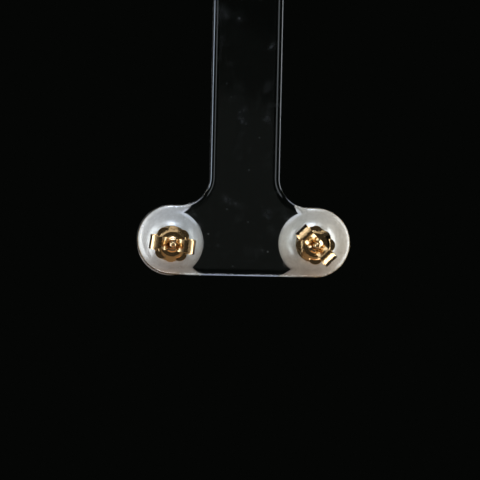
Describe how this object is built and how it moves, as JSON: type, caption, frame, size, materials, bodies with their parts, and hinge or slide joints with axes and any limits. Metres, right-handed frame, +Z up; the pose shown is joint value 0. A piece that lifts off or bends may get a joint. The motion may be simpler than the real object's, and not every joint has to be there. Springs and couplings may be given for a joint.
{
  "type": "pair of pearl stud earrings on a clear hanging display stand",
  "caption": "Round pearl studs with gold posts and butterfly clutches, pushed through the ends of a clear acrylic stand cut as an upside-down T that hangs by a hole.",
  "frame": {"origin": "middle of the hanging hole near the top of the stem, halfway through the sheet", "axes": "+Z up along the stem; the sheet lies in the XZ plane; the pearls are behind it at +Y, and the clutches and post tips point to -Y"},
  "size_m": [0.0254, 0.0179, 0.0414],
  "materials": {
    "clear_acrylic": "polished",
    "nacre": "satin",
    "yellow_gold": "polished"
  },
  "bodies": {
    "stand_and_studs": {"display_stand": "clear_acrylic", "left_pearl": "nacre", "left_post": "yellow_gold", "right_pearl": "nacre", "right_post": "yellow_gold"},
    "left_clutch": {"left_clutch": "yellow_gold"},
    "right_clutch": {"right_clutch": "yellow_gold"}
  },
  "joints": [
    {"name": "left_clutch_slide", "type": "slide", "parent": "stand_and_studs", "child": "left_clutch", "axis": [0, -1, 0], "range_m": [0, 0.0048]},
    {"name": "right_clutch_slide", "type": "slide", "parent": "stand_and_studs", "child": "right_clutch", "axis": [0, -1, 0], "range_m": [0, 0.0048]}
  ]
}
